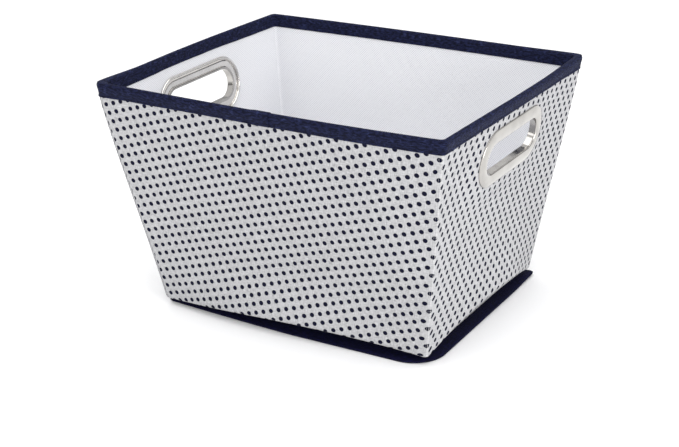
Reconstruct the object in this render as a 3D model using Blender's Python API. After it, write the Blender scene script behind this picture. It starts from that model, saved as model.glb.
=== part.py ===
"""Tapered fabric storage bin: boards in the walls, bound edges and two grommet handles.

Metres, +Z up. The origin is on the floor under the middle of the bin, +X runs along the
long side, and the front faces -Y.
"""

import math

import bmesh
import bpy
from mathutils import Vector

MM = 0.001

# Overall size: the rim is the widest part, and the bin tapers down to its base.
HEIGHT = 200 * MM
RIM_WIDTH = 307 * MM
RIM_DEPTH = 254 * MM
BASE_WIDTH = 250 * MM  # between the walls' planes at BASE_LEVEL
BASE_DEPTH = 195.6 * MM
BASE_LEVEL = 9 * MM
CORNER_RADIUS = 2.5 * MM

# Layers, and the air that separates two layers that touch.
GAP = 0.3 * MM
CLOTH = 0.5 * MM
WALL_BOARD = 1.4 * MM
TAPE = 0.7 * MM
TAPE_WIDTH = 12 * MM
THREAD_RADIUS = 0.25 * MM

# Where the walls fold in under themselves, above the base seam.
FOLD_AT_CORNER = 9 * MM
FOLD_AT_MIDDLE = 23 * MM
BOARD_BOTTOM = 24 * MM

# The bound seam round the base lies flat on the floor as a lip.
LIP_WIDTH = 252 * MM
LIP_DEPTH = 196 * MM
LIP_RADIUS = 12 * MM
HEM_INSET = 1.5 * MM
ROOT_INSET = TAPE_WIDTH + 2.1 * MM

# Handles: an oval face plate with a neck through the wall, and a washer behind it.
OPENING_LENGTH = 93 * MM
OPENING_HEIGHT = 25.5 * MM
HANDLE_DROP = 43.5 * MM  # from the rim's top edge to the middle, along the wall
FLANGE = 11 * MM
SHEET_METAL = 0.8 * MM

# The loose insert that stiffens the floor of the bin.
INSERT_BOARD = 1.5 * MM
INSERT_COVER = 0.4 * MM
INSERT_CLEARANCE = 0.8 * MM

STATIONS_PER_SIDE = 12
STATIONS_PER_CORNER = 3

# Heights of the layers stacked in the lip, from the floor up.
BASE_CLOTH_Z = TAPE + GAP
LINING_HEM_Z = BASE_CLOTH_Z + CLOTH + GAP
WRAP_HEM_Z = LINING_HEM_Z + CLOTH + GAP
LIP_TOP_Z = WRAP_HEM_Z + CLOTH + GAP + TAPE
LAYERS_TOP_Z = HEIGHT - TAPE - GAP

# Depths into the wall, measured square to it from the outer fabric's outer face.
BOARD_OUT = CLOTH + GAP
BOARD_IN = BOARD_OUT + WALL_BOARD
LINING_OUT = BOARD_IN + GAP
LINING_IN = LINING_OUT + CLOTH
TAPE_OUT = -(GAP + TAPE)
TAPE_IN = LINING_IN + GAP + TAPE

TAPER_X = (RIM_WIDTH - BASE_WIDTH) / 2 / (HEIGHT - BASE_LEVEL)
TAPER_Y = (RIM_DEPTH - BASE_DEPTH) / 2 / (HEIGHT - BASE_LEVEL)


def half_size(z, depth):
    """Half the width and half the length of the bin at height z, that deep into its walls."""
    return (
        BASE_WIDTH / 2 + (z - BASE_LEVEL) * TAPER_X - (depth - TAPE_OUT) * math.hypot(1, TAPER_X),
        BASE_DEPTH / 2 + (z - BASE_LEVEL) * TAPER_Y - (depth - TAPE_OUT) * math.hypot(1, TAPER_Y),
    )


def stations():
    """Places round a rounded rectangle: (side, distance along it or None, corner angle)."""
    for side in range(4):
        for step in range(STATIONS_PER_SIDE):
            yield side, (step + 0.5) / STATIONS_PER_SIDE, 0.0
        for step in range(STATIONS_PER_CORNER + 1):
            yield side, None, step / STATIONS_PER_CORNER * math.pi / 2


def outline_point(station, half_x, half_y, radius, z):
    """The point at a station of a rounded rectangle; sides run front, right, back, left."""
    side, along, angle = station
    if side % 2:
        half_x, half_y = half_y, half_x
    if along is None:
        x = half_x - radius + radius * math.sin(angle)
        y = -half_y + radius - radius * math.cos(angle)
    else:
        x = (2 * along - 1) * (half_x - radius)
        y = -half_y
    for _ in range(side):
        x, y = -y, x
    return Vector((x, y, z))


def bow(station):
    """0 at the corners of the bin and 1 at the middle of each side."""
    along = station[1]
    return 0.0 if along is None else math.sin(math.pi * along) ** 1.2


def wall_point(station, depth, z):
    return outline_point(station, *half_size(z, depth), max(CORNER_RADIUS - depth, 0.4 * MM), z)


def lip_point(station, inset, z):
    radius = max(LIP_RADIUS - inset, 0.8 * MM)
    return outline_point(station, LIP_WIDTH / 2 - inset, LIP_DEPTH / 2 - inset, radius, z)


def material(name, colour, roughness, metallic=0.0):
    new = bpy.data.materials.new(name)
    new.use_nodes = True
    shader = new.node_tree.nodes["Principled BSDF"]
    shader.inputs["Base Color"].default_value = (*colour, 1.0)
    shader.inputs["Roughness"].default_value = roughness
    shader.inputs["Metallic"].default_value = metallic
    return new


def add_object(name, bm, finish, parent=None, smooth=True):
    bmesh.ops.recalc_face_normals(bm, faces=bm.faces)
    mesh = bpy.data.meshes.new(name)
    bm.to_mesh(mesh)
    bm.free()
    if smooth:
        mesh.shade_smooth()
        mesh.set_sharp_from_angle(angle=math.radians(35))
    mesh.materials.append(finish)
    obj = bpy.data.objects.new(name, mesh)
    bpy.context.scene.collection.objects.link(obj)
    obj.parent = parent
    return obj


def ring_mesh(sections):
    """A closed ring through sections, which are equal lists of points round its path."""
    bm = bmesh.new()
    rows = [[bm.verts.new(point) for point in section] for section in sections]
    for row, following in zip(rows, rows[1:] + rows[:1]):
        for i in range(len(row)):
            j = (i + 1) % len(row)
            bm.faces.new((row[i], row[j], following[j], following[i]))
    return bm


def box_mesh(low, high):
    bm = bmesh.new()
    bmesh.ops.create_cube(bm, size=1)
    for vert in bm.verts:
        vert.co = [low[k] + (high[k] - low[k]) * (vert.co[k] + 0.5) for k in range(3)]
    return bm


def cut(obj, cutter):
    cutter.hide_render = True
    cutter.display_type = "WIRE"
    boolean = obj.modifiers.new("cut_" + cutter.name, "BOOLEAN")
    boolean.operation = "DIFFERENCE"
    boolean.object = cutter


# Handles. Each is drawn on its wall: u runs along the wall, v up it and w out of it.

def handle_point(side, u, v, w):
    """side is +1 for the right wall and -1 for the left one."""
    lean = math.atan(TAPER_X)
    top = Vector((half_size(HEIGHT, 0)[0], 0, HEIGHT))
    up = Vector((math.sin(lean), 0, math.cos(lean)))
    out = Vector((math.cos(lean), 0, -math.sin(lean)))
    point = top + up * (v - HANDLE_DROP) + out * w + Vector((0, side * u, 0))
    return Vector((side * point.x, point.y, point.z))


def oval(offset):
    """(u, v) points of the handle's opening, grown by offset."""
    radius = OPENING_HEIGHT / 2 + offset
    straight = (OPENING_LENGTH - OPENING_HEIGHT) / 2
    steps = 12
    for end in (1, -1):
        for step in range(steps + 1):
            angle = (step / steps - 0.5) * math.pi
            yield end * (straight + radius * math.cos(angle)), end * radius * math.sin(angle)


def oval_ring(side, profile):
    """A ring of constant profile, (offset, w) points, round the handle's opening."""
    rails = [[handle_point(side, u, v, w) for u, v in oval(offset)] for offset, w in profile]
    return ring_mesh(list(zip(*rails)))


def add_hole_cutter(side, name, finish):
    reach = 8 * MM
    outline = list(oval(SHEET_METAL + GAP))
    bm = bmesh.new()
    ends = []
    for w in (-reach, reach):
        ends.append([bm.verts.new(handle_point(side, u, v, w)) for u, v in outline])
        bm.faces.new(ends[-1])
    for i in range(len(outline)):
        j = (i + 1) % len(outline)
        bm.faces.new((ends[0][i], ends[0][j], ends[1][j], ends[1][i]))
    return add_object(name, bm, finish, smooth=False)


def add_grommet(side, word, finish):
    """The face plate is one pressing with its neck; the washer has a rolled outer bead."""
    washer_w = -(LINING_IN + GAP)
    neck_end = washer_w - SHEET_METAL - GAP - SHEET_METAL
    face = [
        (0, neck_end), (0, 1.2 * MM), (0.8 * MM, 2.0 * MM), (2.4 * MM, 2.3 * MM),
        (7 * MM, 1.8 * MM), (FLANGE - 0.8 * MM, 1.0 * MM), (FLANGE, GAP),
        (FLANGE - 1.2 * MM, GAP), (7 * MM, 1.0 * MM), (2.4 * MM, 1.5 * MM),
        (1.2 * MM, 1.2 * MM), (SHEET_METAL, 0.6 * MM), (SHEET_METAL, neck_end + SHEET_METAL),
        (2.2 * MM, neck_end + SHEET_METAL), (2.4 * MM, neck_end + 0.3 * MM), (1.6 * MM, neck_end),
    ]
    add_object("grommet_face_" + word, oval_ring(side, face), finish)
    bead = FLANGE - 2 * MM
    washer = [
        (SHEET_METAL + GAP, washer_w), (FLANGE, washer_w), (FLANGE + 0.6 * MM, washer_w - 0.6 * MM),
        (FLANGE + 0.3 * MM, washer_w - 1.3 * MM), (FLANGE - 0.6 * MM, washer_w - 1.6 * MM),
        (bead + 0.4 * MM, washer_w - 1.3 * MM), (bead, washer_w - SHEET_METAL),
        (SHEET_METAL + GAP, washer_w - SHEET_METAL),
    ]
    add_object("grommet_washer_" + word, oval_ring(side, washer), finish)


# Sewn layers, each a ring of cloth.

def wrap_section(station):
    """Outer fabric, from its top edge down to the fold, in to the seam and out into the lip."""
    fold = FOLD_AT_CORNER + (FOLD_AT_MIDDLE - FOLD_AT_CORNER) * bow(station)
    top, bottom = WRAP_HEM_Z + CLOTH, WRAP_HEM_Z
    return [
        wall_point(station, 0, LAYERS_TOP_Z),
        wall_point(station, 0, fold),
        lip_point(station, ROOT_INSET, LIP_TOP_Z + 0.6 * MM),
        lip_point(station, ROOT_INSET + 0.3 * MM, top),
        lip_point(station, HEM_INSET, top),
        lip_point(station, HEM_INSET, bottom),
        lip_point(station, ROOT_INSET + 0.3 * MM + CLOTH, bottom),
        lip_point(station, ROOT_INSET + CLOTH, LIP_TOP_Z + 0.8 * MM),
        wall_point(station, CLOTH, fold + 0.1 * MM),
        wall_point(station, CLOTH, LAYERS_TOP_Z),
    ]


def lining_section(station):
    """Lining, the same way round but behind the boards and under the outer fabric's hem."""
    fold = FOLD_AT_CORNER + (BOARD_BOTTOM - FOLD_AT_CORNER) * bow(station) + 1.5 * MM
    top, bottom = LINING_HEM_Z + CLOTH, LINING_HEM_Z
    root = ROOT_INSET + 1.1 * MM
    return [
        wall_point(station, LINING_OUT, LAYERS_TOP_Z),
        wall_point(station, LINING_OUT, fold),
        lip_point(station, root, LIP_TOP_Z + 1.0 * MM),
        lip_point(station, root, top),
        lip_point(station, HEM_INSET, top),
        lip_point(station, HEM_INSET, bottom),
        lip_point(station, root + CLOTH, bottom),
        lip_point(station, root + CLOTH, LIP_TOP_Z + 1.2 * MM),
        wall_point(station, LINING_IN, fold + 0.1 * MM),
        wall_point(station, LINING_IN, LAYERS_TOP_Z),
    ]


def rim_binding_section(station):
    """Tape folded over the top edge: down the outside, and back up the inside."""
    low = HEIGHT - TAPE_WIDTH
    middle = (TAPE_OUT + TAPE_IN) / 2
    half = (TAPE_IN - TAPE_OUT) / 2
    outer = [wall_point(station, TAPE_OUT, low)]
    for angle in (180, 150, 120, 90, 60, 30, 0):
        turn = math.radians(angle)
        drop = 1.6 * MM * (1 - math.sin(turn))
        outer.append(wall_point(station, middle + half * math.cos(turn), HEIGHT - drop))
    outer.append(wall_point(station, TAPE_IN, low))
    inner = [
        wall_point(station, TAPE_IN - TAPE, low),
        wall_point(station, TAPE_IN - TAPE, HEIGHT - 1.9 * MM),
        wall_point(station, LINING_IN, HEIGHT - TAPE),
        wall_point(station, 0, HEIGHT - TAPE),
        wall_point(station, TAPE_OUT + TAPE, HEIGHT - 1.9 * MM),
        wall_point(station, TAPE_OUT + TAPE, low),
    ]
    return outer + inner


def base_binding_section(station):
    """Tape folded over the base seam: under the lip, round its edge and back over it."""
    return [
        lip_point(station, TAPE_WIDTH, 0),
        lip_point(station, 0.8 * MM, 0),
        lip_point(station, 0, 0.8 * MM),
        lip_point(station, 0, LIP_TOP_Z - 0.8 * MM),
        lip_point(station, 0.8 * MM, LIP_TOP_Z),
        lip_point(station, TAPE_WIDTH, LIP_TOP_Z),
        lip_point(station, TAPE_WIDTH, LIP_TOP_Z - TAPE),
        lip_point(station, TAPE + 0.2 * MM, LIP_TOP_Z - TAPE),
        lip_point(station, TAPE + 0.2 * MM, TAPE),
        lip_point(station, TAPE_WIDTH, TAPE),
    ]


def thread_section(place, station):
    """A round thread whose middle is at place, a (depth or inset, z) function of points."""
    for step in range(6):
        turn = step * math.pi / 3
        yield place(station, THREAD_RADIUS * math.cos(turn), THREAD_RADIUS * math.sin(turn))


def ring(name, section, finish):
    return add_object(name, ring_mesh([section(station) for station in stations()]), finish)


def add_threads(finish):
    """The rows of lockstitch: outside and inside the rim tape, and on top of the lip."""
    row_z = HEIGHT - TAPE_WIDTH + 2 * MM
    clear = GAP + THREAD_RADIUS

    def rim_outside(station, across, up):
        return wall_point(station, TAPE_OUT - clear + across, row_z + up)

    def rim_inside(station, across, up):
        return wall_point(station, TAPE_IN + clear + across, row_z + up)

    def on_lip(station, across, up):
        return lip_point(station, TAPE_WIDTH - 2 * MM + across, LIP_TOP_Z + clear + up)

    places = {
        "rim_thread_outside": rim_outside,
        "rim_thread_inside": rim_inside,
        "base_thread": on_lip,
    }
    for name, place in places.items():
        ring(name, lambda station: list(thread_section(place, station)), finish)


def add_wall_board(name, side, finish):
    """A stiff trapezoid between the fabric and the lining, clear of its neighbours' ends."""
    end_gap = 3 * MM
    bm = bmesh.new()
    verts = []
    for depth in (BOARD_OUT, BOARD_IN):
        for z, order in ((BOARD_BOTTOM, (-1, 1)), (LAYERS_TOP_Z, (1, -1))):
            for end in order:
                half_x, half_y = half_size(z, depth)
                length = half_size(z, 0)[side % 2] - end_gap
                x, y = end * length, -(half_x if side % 2 else half_y)
                for _ in range(side):
                    x, y = -y, x
                verts.append(bm.verts.new((x, y, z)))
    bm.faces.new(verts[:4])
    bm.faces.new(verts[4:])
    for i in range(4):
        j = (i + 1) % 4
        bm.faces.new((verts[i], verts[j], verts[4 + j], verts[4 + i]))
    return add_object(name, bm, finish, smooth=False)


def add_base_fabric(finish):
    bm = bmesh.new()
    rims = []
    for z in (BASE_CLOTH_Z, BASE_CLOTH_Z + CLOTH):
        rims.append([bm.verts.new(lip_point(s, HEM_INSET, z)) for s in stations()])
        bm.faces.new(rims[-1])
    for i in range(len(rims[0])):
        j = (i + 1) % len(rims[0])
        bm.faces.new((rims[0][i], rims[0][j], rims[1][j], rims[1][i]))
    add_object("base_fabric", bm, finish)


def add_insert(board_finish, cover_finish):
    """A board in a cloth sleeve, which lies loose on the base and lifts straight out."""
    carrier = bpy.data.objects.new("insert_lift_axis", None)
    bpy.context.scene.collection.objects.link(carrier)
    inset = ROOT_INSET + 1.1 * MM + CLOTH + INSERT_CLEARANCE
    half_x = LIP_WIDTH / 2 - inset
    half_y = LIP_DEPTH / 2 - inset
    low = BASE_CLOTH_Z + CLOTH + GAP
    inner_x, inner_y = half_x - INSERT_COVER, half_y - INSERT_COVER
    board_low = low + INSERT_COVER + GAP
    high = board_low + INSERT_BOARD + GAP + INSERT_COVER

    cover = box_mesh((-half_x, -half_y, low), (half_x, half_y, high))
    sleeve = add_object("insert_cover", cover, cover_finish, carrier, smooth=False)
    pocket = box_mesh(
        (-inner_x, -inner_y, low + INSERT_COVER), (half_x + 5 * MM, inner_y, high - INSERT_COVER)
    )
    cut(sleeve, add_object("insert_pocket", pocket, cover_finish, carrier, smooth=False))
    board = box_mesh(
        (GAP - inner_x, GAP - inner_y, board_low),
        (inner_x - GAP, inner_y - GAP, board_low + INSERT_BOARD),
    )
    add_object("insert_board", board, board_finish, carrier, smooth=False)


def main():
    for obj in list(bpy.data.objects):
        bpy.data.objects.remove(obj)

    printed = material("printed_cloth", (0.62, 0.62, 0.63), 0.85)
    white = material("lining_cloth", (0.83, 0.83, 0.84), 0.8)
    navy = material("navy_tape", (0.012, 0.016, 0.06), 0.75)
    navy_thread = material("navy_thread", (0.01, 0.012, 0.04), 0.6)
    chipboard = material("chipboard", (0.4, 0.32, 0.22), 0.9)
    nickel = material("nickel", (0.78, 0.75, 0.71), 0.22, metallic=1.0)

    holes = {side: add_hole_cutter(side, "hole_" + word, chipboard)
             for side, word in ((1, "right"), (-1, "left"))}

    wrap = ring("outer_wrap", wrap_section, printed)
    lining = ring("lining_wrap", lining_section, white)
    for layer in (wrap, lining):
        for hole in holes.values():
            cut(layer, hole)

    for side, word in enumerate(("front", "right", "back", "left")):
        board = add_wall_board("wall_board_" + word, side, chipboard)
        if side % 2:
            cut(board, holes[1 if word == "right" else -1])

    add_base_fabric(navy)
    ring("rim_binding", rim_binding_section, navy)
    ring("base_binding", base_binding_section, navy)
    add_threads(navy_thread)
    for side, word in ((1, "right"), (-1, "left")):
        add_grommet(side, word, nickel)
    add_insert(chipboard, white)


main()
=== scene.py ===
"""Visual model of a tapered fabric storage bin: dotted cloth over boards, bound edges, handles.

Metres, in the frame of the CAD parts: +Z up, the front faces -Y, and the floor is at z = 0.
"""

import bisect
import math

import bmesh
import bpy
from mathutils import Matrix, Vector, noise


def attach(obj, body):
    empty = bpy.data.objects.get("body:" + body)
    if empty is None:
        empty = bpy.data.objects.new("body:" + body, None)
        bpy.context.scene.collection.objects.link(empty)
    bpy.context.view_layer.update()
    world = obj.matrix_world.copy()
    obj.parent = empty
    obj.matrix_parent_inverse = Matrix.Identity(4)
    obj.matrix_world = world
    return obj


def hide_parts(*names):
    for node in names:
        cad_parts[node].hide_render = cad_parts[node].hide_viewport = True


MM = 0.001

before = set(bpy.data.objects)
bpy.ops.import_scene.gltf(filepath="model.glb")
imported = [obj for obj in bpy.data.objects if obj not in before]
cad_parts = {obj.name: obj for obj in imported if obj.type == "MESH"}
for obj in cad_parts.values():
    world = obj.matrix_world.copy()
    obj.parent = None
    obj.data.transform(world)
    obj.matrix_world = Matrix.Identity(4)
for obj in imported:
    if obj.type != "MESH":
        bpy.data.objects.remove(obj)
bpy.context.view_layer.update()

# The bin's driving sizes, as in its CAD source.
HEIGHT = 200 * MM
RIM_WIDTH = 307 * MM
RIM_DEPTH = 254 * MM
BASE_WIDTH = 250 * MM
BASE_DEPTH = 195.6 * MM
BASE_LEVEL = 9 * MM
TAPER_X = (RIM_WIDTH - BASE_WIDTH) / 2 / (HEIGHT - BASE_LEVEL)
TAPER_Y = (RIM_DEPTH - BASE_DEPTH) / 2 / (HEIGHT - BASE_LEVEL)
CORNER_RADIUS = 1.8 * MM
# What each corner adds to a radius: front right, back right, back left, front left.
CORNER_SOFTNESS = (0.0, 0.5 * MM, 0.5 * MM, 3.4 * MM)
RIM_SOFTNESS = 1.6 * MM
LINING_CORNER_RADIUS = 4.5 * MM
TAPE_WIDTH = 12 * MM
OPENING_LENGTH = 93 * MM
OPENING_HEIGHT = 25.5 * MM
HANDLE_DROP = 43.5 * MM
HANDLE_Z = HEIGHT - HANDLE_DROP / math.hypot(1, TAPER_X)
HALF_STRAIGHT = (OPENING_LENGTH - OPENING_HEIGHT) / 2
FLANGE = 11 * MM

# Layers, as depths into the wall from the outer cloth's outer face.
CLOTH = 0.35 * MM
BOARD_OUT = 0.6 * MM
BOARD = 1.4 * MM
LINING_OUT = 2.3 * MM
LINING = 0.35 * MM
LINING_IN = LINING_OUT + LINING
TAPE = 0.5 * MM

# How the walls stand out of their planes: front, right, back, left. Each pair or triple is a
# height and a power that moves its peak along the wall (over 1 is towards the wall's end), and
# for the flare over the base also the share of the way down at which it starts.
FLARE = (
    (11.5 * MM, 0.82, 0.685), (11.6 * MM, 1.40, 0.61), (8 * MM, 1.0, 0.65), (7 * MM, 1.0, 0.65),
)
RIM_BOW = ((2.6 * MM, 1.5), (2.0 * MM, 1.5), (0.9 * MM, 1.0), (2.3 * MM, 1.0))
BELLY = ((3.0 * MM, 3.2), (-1.65 * MM, 0.65), (0.8 * MM, 1.0), (2.6 * MM, 1.0))
# How far out of its plane a wall is held level round its handle.
HANDLE_LEVEL = (0.0, 0.9 * MM, 0.0, 4.0 * MM)

# The cloth stands off the boards at two corners, by (x, y): front right, back right, back left,
# front left. It comes back to the boards within this share of each wall's length.
CORNER_SPREAD = ((0.0, 0.0), (2.2 * MM, 3.8 * MM), (0.0, 0.0), (-6.4 * MM, -0.6 * MM))
SPREAD_REACH = (0.08, 0.2, 0.2, 0.2)

# The tuck under each wall, and the bound lip of the base seam. A power moves the tuck's peak.
TUCK_POWER = (1.125, 1.16, 1.0, 1.0)
FOLD_AT_CORNER = (9.2 * MM, 9 * MM, 9 * MM, 6.2 * MM)
FOLD_AT_MIDDLE = (16 * MM, 27.4 * MM, 22 * MM, 22 * MM)
BOARD_BOTTOM = 24 * MM
LIP_HALF_WIDTH = 127.8 * MM
LIP_HALF_DEPTH = 98.8 * MM
LIP_RADII = (28 * MM, 3.5 * MM, 8 * MM, 4 * MM)
LIP_CORNER_RISE = (0.0, 1.4 * MM, 0.5 * MM, 0.0)
LIP_POKE = 6.5 * MM
HEM_INSET = 1.6 * MM
LIP_LIFT = (2.6 * MM, 0.4 * MM, 1.2 * MM, 0.8 * MM)
FRONT_PULL = 6.8 * MM

SIDE_COLUMNS = 96
CORNER_COLUMNS = 8
FRONT, RIGHT, BACK, LEFT = range(4)


def smooth(value, low=0.0, high=1.0):
    t = min(max((value - low) / (high - low), 0.0), 1.0)
    return t * t * (3 - 2 * t)


def mix(a, b, share):
    return a + (b - a) * share


def half_size(z, depth):
    """Half the bin's width and depth at that height, depth into the walls."""
    rise = z - BASE_LEVEL
    return (BASE_WIDTH / 2 + rise * TAPER_X - depth * math.hypot(1, TAPER_X),
            BASE_DEPTH / 2 + rise * TAPER_Y - depth * math.hypot(1, TAPER_Y))


def slant(side):
    """Length down a wall for each unit of height."""
    return math.hypot(1, TAPER_X if side % 2 else TAPER_Y)


def turned(point, side):
    """A point of the front wall's frame, moved to that side of the bin."""
    x, y, z = point
    for _ in range(side):
        x, y = -y, x
    return Vector((x, y, z))


def oval_distance(u, v):
    """How far a point of a handle wall lies outside the opening's edge."""
    return math.hypot(max(abs(u) - HALF_STRAIGHT, 0.0), v) - OPENING_HEIGHT / 2


def hump(across, power, sharpness):
    """1 at its peak along a wall and 0 at both corners."""
    return max(math.sin(math.pi * min(max(across, 0.0), 1.0) ** power), 0.0) ** sharpness


def free_crown(side, across, z):
    """crown without the handle, which holds its wall level."""
    down = min(max(1 - z / HEIGHT, 0.0), 1.0)
    height, power, start = FLARE[side]
    out = height * hump(across, power, 1.5) * smooth(down, start, 1.0)
    height, power = RIM_BOW[side]
    out += height * hump(across, power, 1.2) * (1 - smooth(down, 0.0, 0.35))
    height, power = BELLY[side]
    return out + height * hump(across, power, 1.2) * math.sin(math.pi * min(down / 0.7, 1.0))


def crown(side, across, z):
    """How far the wall stands out of its plane. across is 0 at one corner and 1 at the next."""
    out = free_crown(side, across, z)
    if side % 2:
        u, v = (2 * across - 1) * half_size(z, 0)[1], (z - HANDLE_Z) * slant(side)
        near = 1 - smooth(oval_distance(u, v), FLANGE + 1 * MM, FLANGE + 24 * MM)
        out = mix(out, HANDLE_LEVEL[side], near)
    return out


def ripple(point, size, seed):
    """Soft unevenness, from -1 to 1, with waves about that long."""
    return noise.noise(Vector(point) / size + Vector((seed, seed * 0.7, -seed)))


def ring_stations(columns=SIDE_COLUMNS):
    """Places round the bin from the back left corner and back to it: (side, along, angle)."""
    found = [(BACK, None, math.pi / 2)]
    for side in (LEFT, FRONT, RIGHT, BACK):
        for step in range(columns):
            found.append((side, (step + 0.5) / columns, 0.0))
        for step in range(CORNER_COLUMNS + 1):
            found.append((side, None, step / CORNER_COLUMNS * math.pi / 2))
    return found


def spread_at(station, z):
    """How far the cloth stands off at a station, as (x, y)."""
    side, along, _ = station
    after, before = CORNER_SPREAD[side], CORNER_SPREAD[side - 1]
    after_share, before_share = 1.0, 0.0
    if along is not None:
        reach = SPREAD_REACH[side]
        after_share, before_share = smooth(along, 1 - reach, 1), 1 - smooth(along, 0, reach)
    height = 0.38 + 0.62 * smooth(z, 20 * MM, 165 * MM)
    height *= 1 - 0.35 * smooth(z, HEIGHT - 13 * MM, HEIGHT - 6 * MM)
    x, y = (height * (after[k] * after_share + before[k] * before_share) for k in (0, 1))
    return Vector((x, y, 0.0))


def rounded(station, half_x, half_y, before, after, z):
    """A point on a rectangle with its side's two corners rounded by those radii."""
    side, along, angle = station
    if side % 2:
        half_x, half_y = half_y, half_x
    if along is None:
        x = half_x - after + after * math.sin(angle)
        y = -half_y + after - after * math.cos(angle)
    else:
        x = mix(before - half_x, half_x - after, along)
        y = -half_y
    return turned((x, y, z), side)


def corner_mix(values, station):
    """A value given for the corner after each side, eased from one corner to the next."""
    side, along, _ = station
    if along is None:
        return values[side]
    return mix(values[side - 1], values[side], smooth(along))


def bow(station):
    """1 in the middle of a wall and 0 at its corners."""
    along = station[1]
    return 0.0 if along is None else math.sin(math.pi * along) ** 1.2


def fold_height(station):
    """The height at which a wall's cloth folds in under it, most a little past its middle."""
    side, along, _ = station
    share = 0.0 if along is None else hump(along, TUCK_POWER[side], 1.05)
    return mix(corner_mix(FOLD_AT_CORNER, station), FOLD_AT_MIDDLE[side], share)


def wall_point(station, depth, z, radius=CORNER_RADIUS):
    """A point of a wall at a station, that far into it and that high."""
    side, along, _ = station
    r = max(radius + RIM_SOFTNESS * smooth(z, HEIGHT - 24 * MM, HEIGHT - 9 * MM) - depth, 0.4 * MM)
    before, after = (r + CORNER_SOFTNESS[k] for k in (side - 1, side))
    point = rounded(station, *half_size(z, depth), before, after, z)
    # Only the outer layers take part in the corners' spread.
    point += spread_at(station, z) * (1 - smooth(depth, 0.0, LINING_OUT))
    if along is not None:
        point += turned((0, -crown(side, along, z), 0), side)
    return point


def tape_point(station, depth, z):
    """wall_point for the rim tape, whose corners go over from the outer cloth's to the lining's."""
    radius = mix(CORNER_RADIUS, LINING_CORNER_RADIUS, smooth(depth, 0.0, LINING_OUT))
    return wall_point(station, depth, z, radius)


def side_value(values, station):
    """A value given for the middle of each side, eased to the mean of two at their corner."""
    side, along, _ = station
    corner = (values[side] + values[(side + 1) % 4]) / 2
    if along is None:
        return corner
    edge = (values[side] + values[side - 1]) / 2 if along < 0.5 else corner
    return mix(edge, values[side], math.sin(math.pi * along) ** 0.8)


def lip_lift(station, inset):
    """The lip's inner edge is pulled up by the wall; under the insert the cloth is down again."""
    share = min(max(inset, 0.0) / TAPE_WIDTH, 1.0)
    return side_value(LIP_LIFT, station) * share ** 1.4


def corner_rise(station):
    """The lip's corners that stand off the floor; the rise fades within a fifth of a side."""
    side, along, _ = station
    if along is None:
        return LIP_CORNER_RISE[side]
    near_start, near_end = 1 - smooth(along, 0, 0.22), smooth(along, 0.78, 1)
    return LIP_CORNER_RISE[side - 1] * near_start + LIP_CORNER_RISE[side] * near_end


def lip_point(station, inset, z):
    """A point of the lip, that far in from its edge and that high over the floor."""
    before, after = (max(LIP_RADII[k] - inset, 0.8 * MM) for k in (station[0] - 1, station[0]))
    point = rounded(station, LIP_HALF_WIDTH - inset, LIP_HALF_DEPTH - inset, before, after,
                    z + corner_rise(station))
    # The front left part of the seam is drawn in under the hanging wall.
    pull = min(max((5 * MM - point.x) / (115 * MM), 0.0), 1.1) ** 1.3
    near_front = smooth(-point.y, 50 * MM, 88 * MM)
    point.y += FRONT_PULL * pull * near_front * (1 - 0.8 * smooth(inset, 5 * MM, 13 * MM))
    # Its back right corner pokes out.
    point.y += LIP_POKE * smooth(point.x, 80 * MM, 126 * MM) * smooth(point.y, 55 * MM, 99 * MM)
    point.z += lip_lift(station, inset)
    return point


# Heights in the lip, from the floor: tape, base cloth, lining, outer cloth, tape.
LIP_BASE_Z = 0.75 * MM
LIP_LINING_Z = 1.15 * MM
LIP_OUTER_Z = 1.6 * MM
LIP_TOP_Z = 2.6 * MM


def fillet(points, radii, steps):
    """A polyline of 3-D points with its inner corners rounded by quadratic curves."""
    made = [points[0]]
    for i in range(1, len(points) - 1):
        before, here, after = points[i - 1], points[i], points[i + 1]
        back, ahead = before - here, after - here
        reach = min(radii[i - 1], back.length * 0.48, ahead.length * 0.48)
        start, end = here + back.normalized() * reach, here + ahead.normalized() * reach
        for step in range(steps + 1):
            t = step / steps
            made.append(start * (1 - t) ** 2 + here * 2 * t * (1 - t) + end * t * t)
    made.append(points[-1])
    return made


def grid_object(name, columns, closed=False, uvs=None):
    """A sheet through columns, equal lists of points. uvs maps a layer's name to (u, v) rows."""
    bm = bmesh.new()
    grid = [[bm.verts.new(p) for p in column] for column in columns]
    layers = {key: bm.loops.layers.uv.new(key) for key in (uvs or {})}
    for i in range(len(grid) if closed else len(grid) - 1):
        k = (i + 1) % len(grid)
        for j in range(len(grid[i]) - 1):
            face = bm.faces.new((grid[i][j], grid[i][j + 1], grid[k][j + 1], grid[k][j]))
            for key, layer in layers.items():
                corners = ((i, j), (i, j + 1), (i + 1, j + 1), (i + 1, j))
                for loop, (column, row) in zip(face.loops, corners):
                    loop[layer].uv = uvs[key][column][row]
    return finish_mesh(name, bm)


def join_rings(bm, rings):
    """Faces between each closed ring of vertices and the next."""
    for ring, following in zip(rings, rings[1:]):
        for i in range(len(ring)):
            j = (i + 1) % len(ring)
            bm.faces.new((ring[i], ring[j], following[j], following[i]))


def lay_flat(bm, layout):
    """Gives each face corner the flat coordinates layout(point) of its vertex."""
    uv = bm.loops.layers.uv.new("cloth")
    for face in bm.faces:
        for loop in face.loops:
            loop[uv].uv = layout(loop.vert.co)


def finish_mesh(name, bm, sharp=60):
    """The mesh as a smooth-shaded object, with edges over sharp degrees left hard."""
    mesh = bpy.data.meshes.new(name)
    bm.to_mesh(mesh)
    bm.free()
    mesh.shade_smooth()
    mesh.set_sharp_from_angle(angle=math.radians(sharp))
    obj = bpy.data.objects.new(name, mesh)
    bpy.context.scene.collection.objects.link(obj)
    return obj


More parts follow.
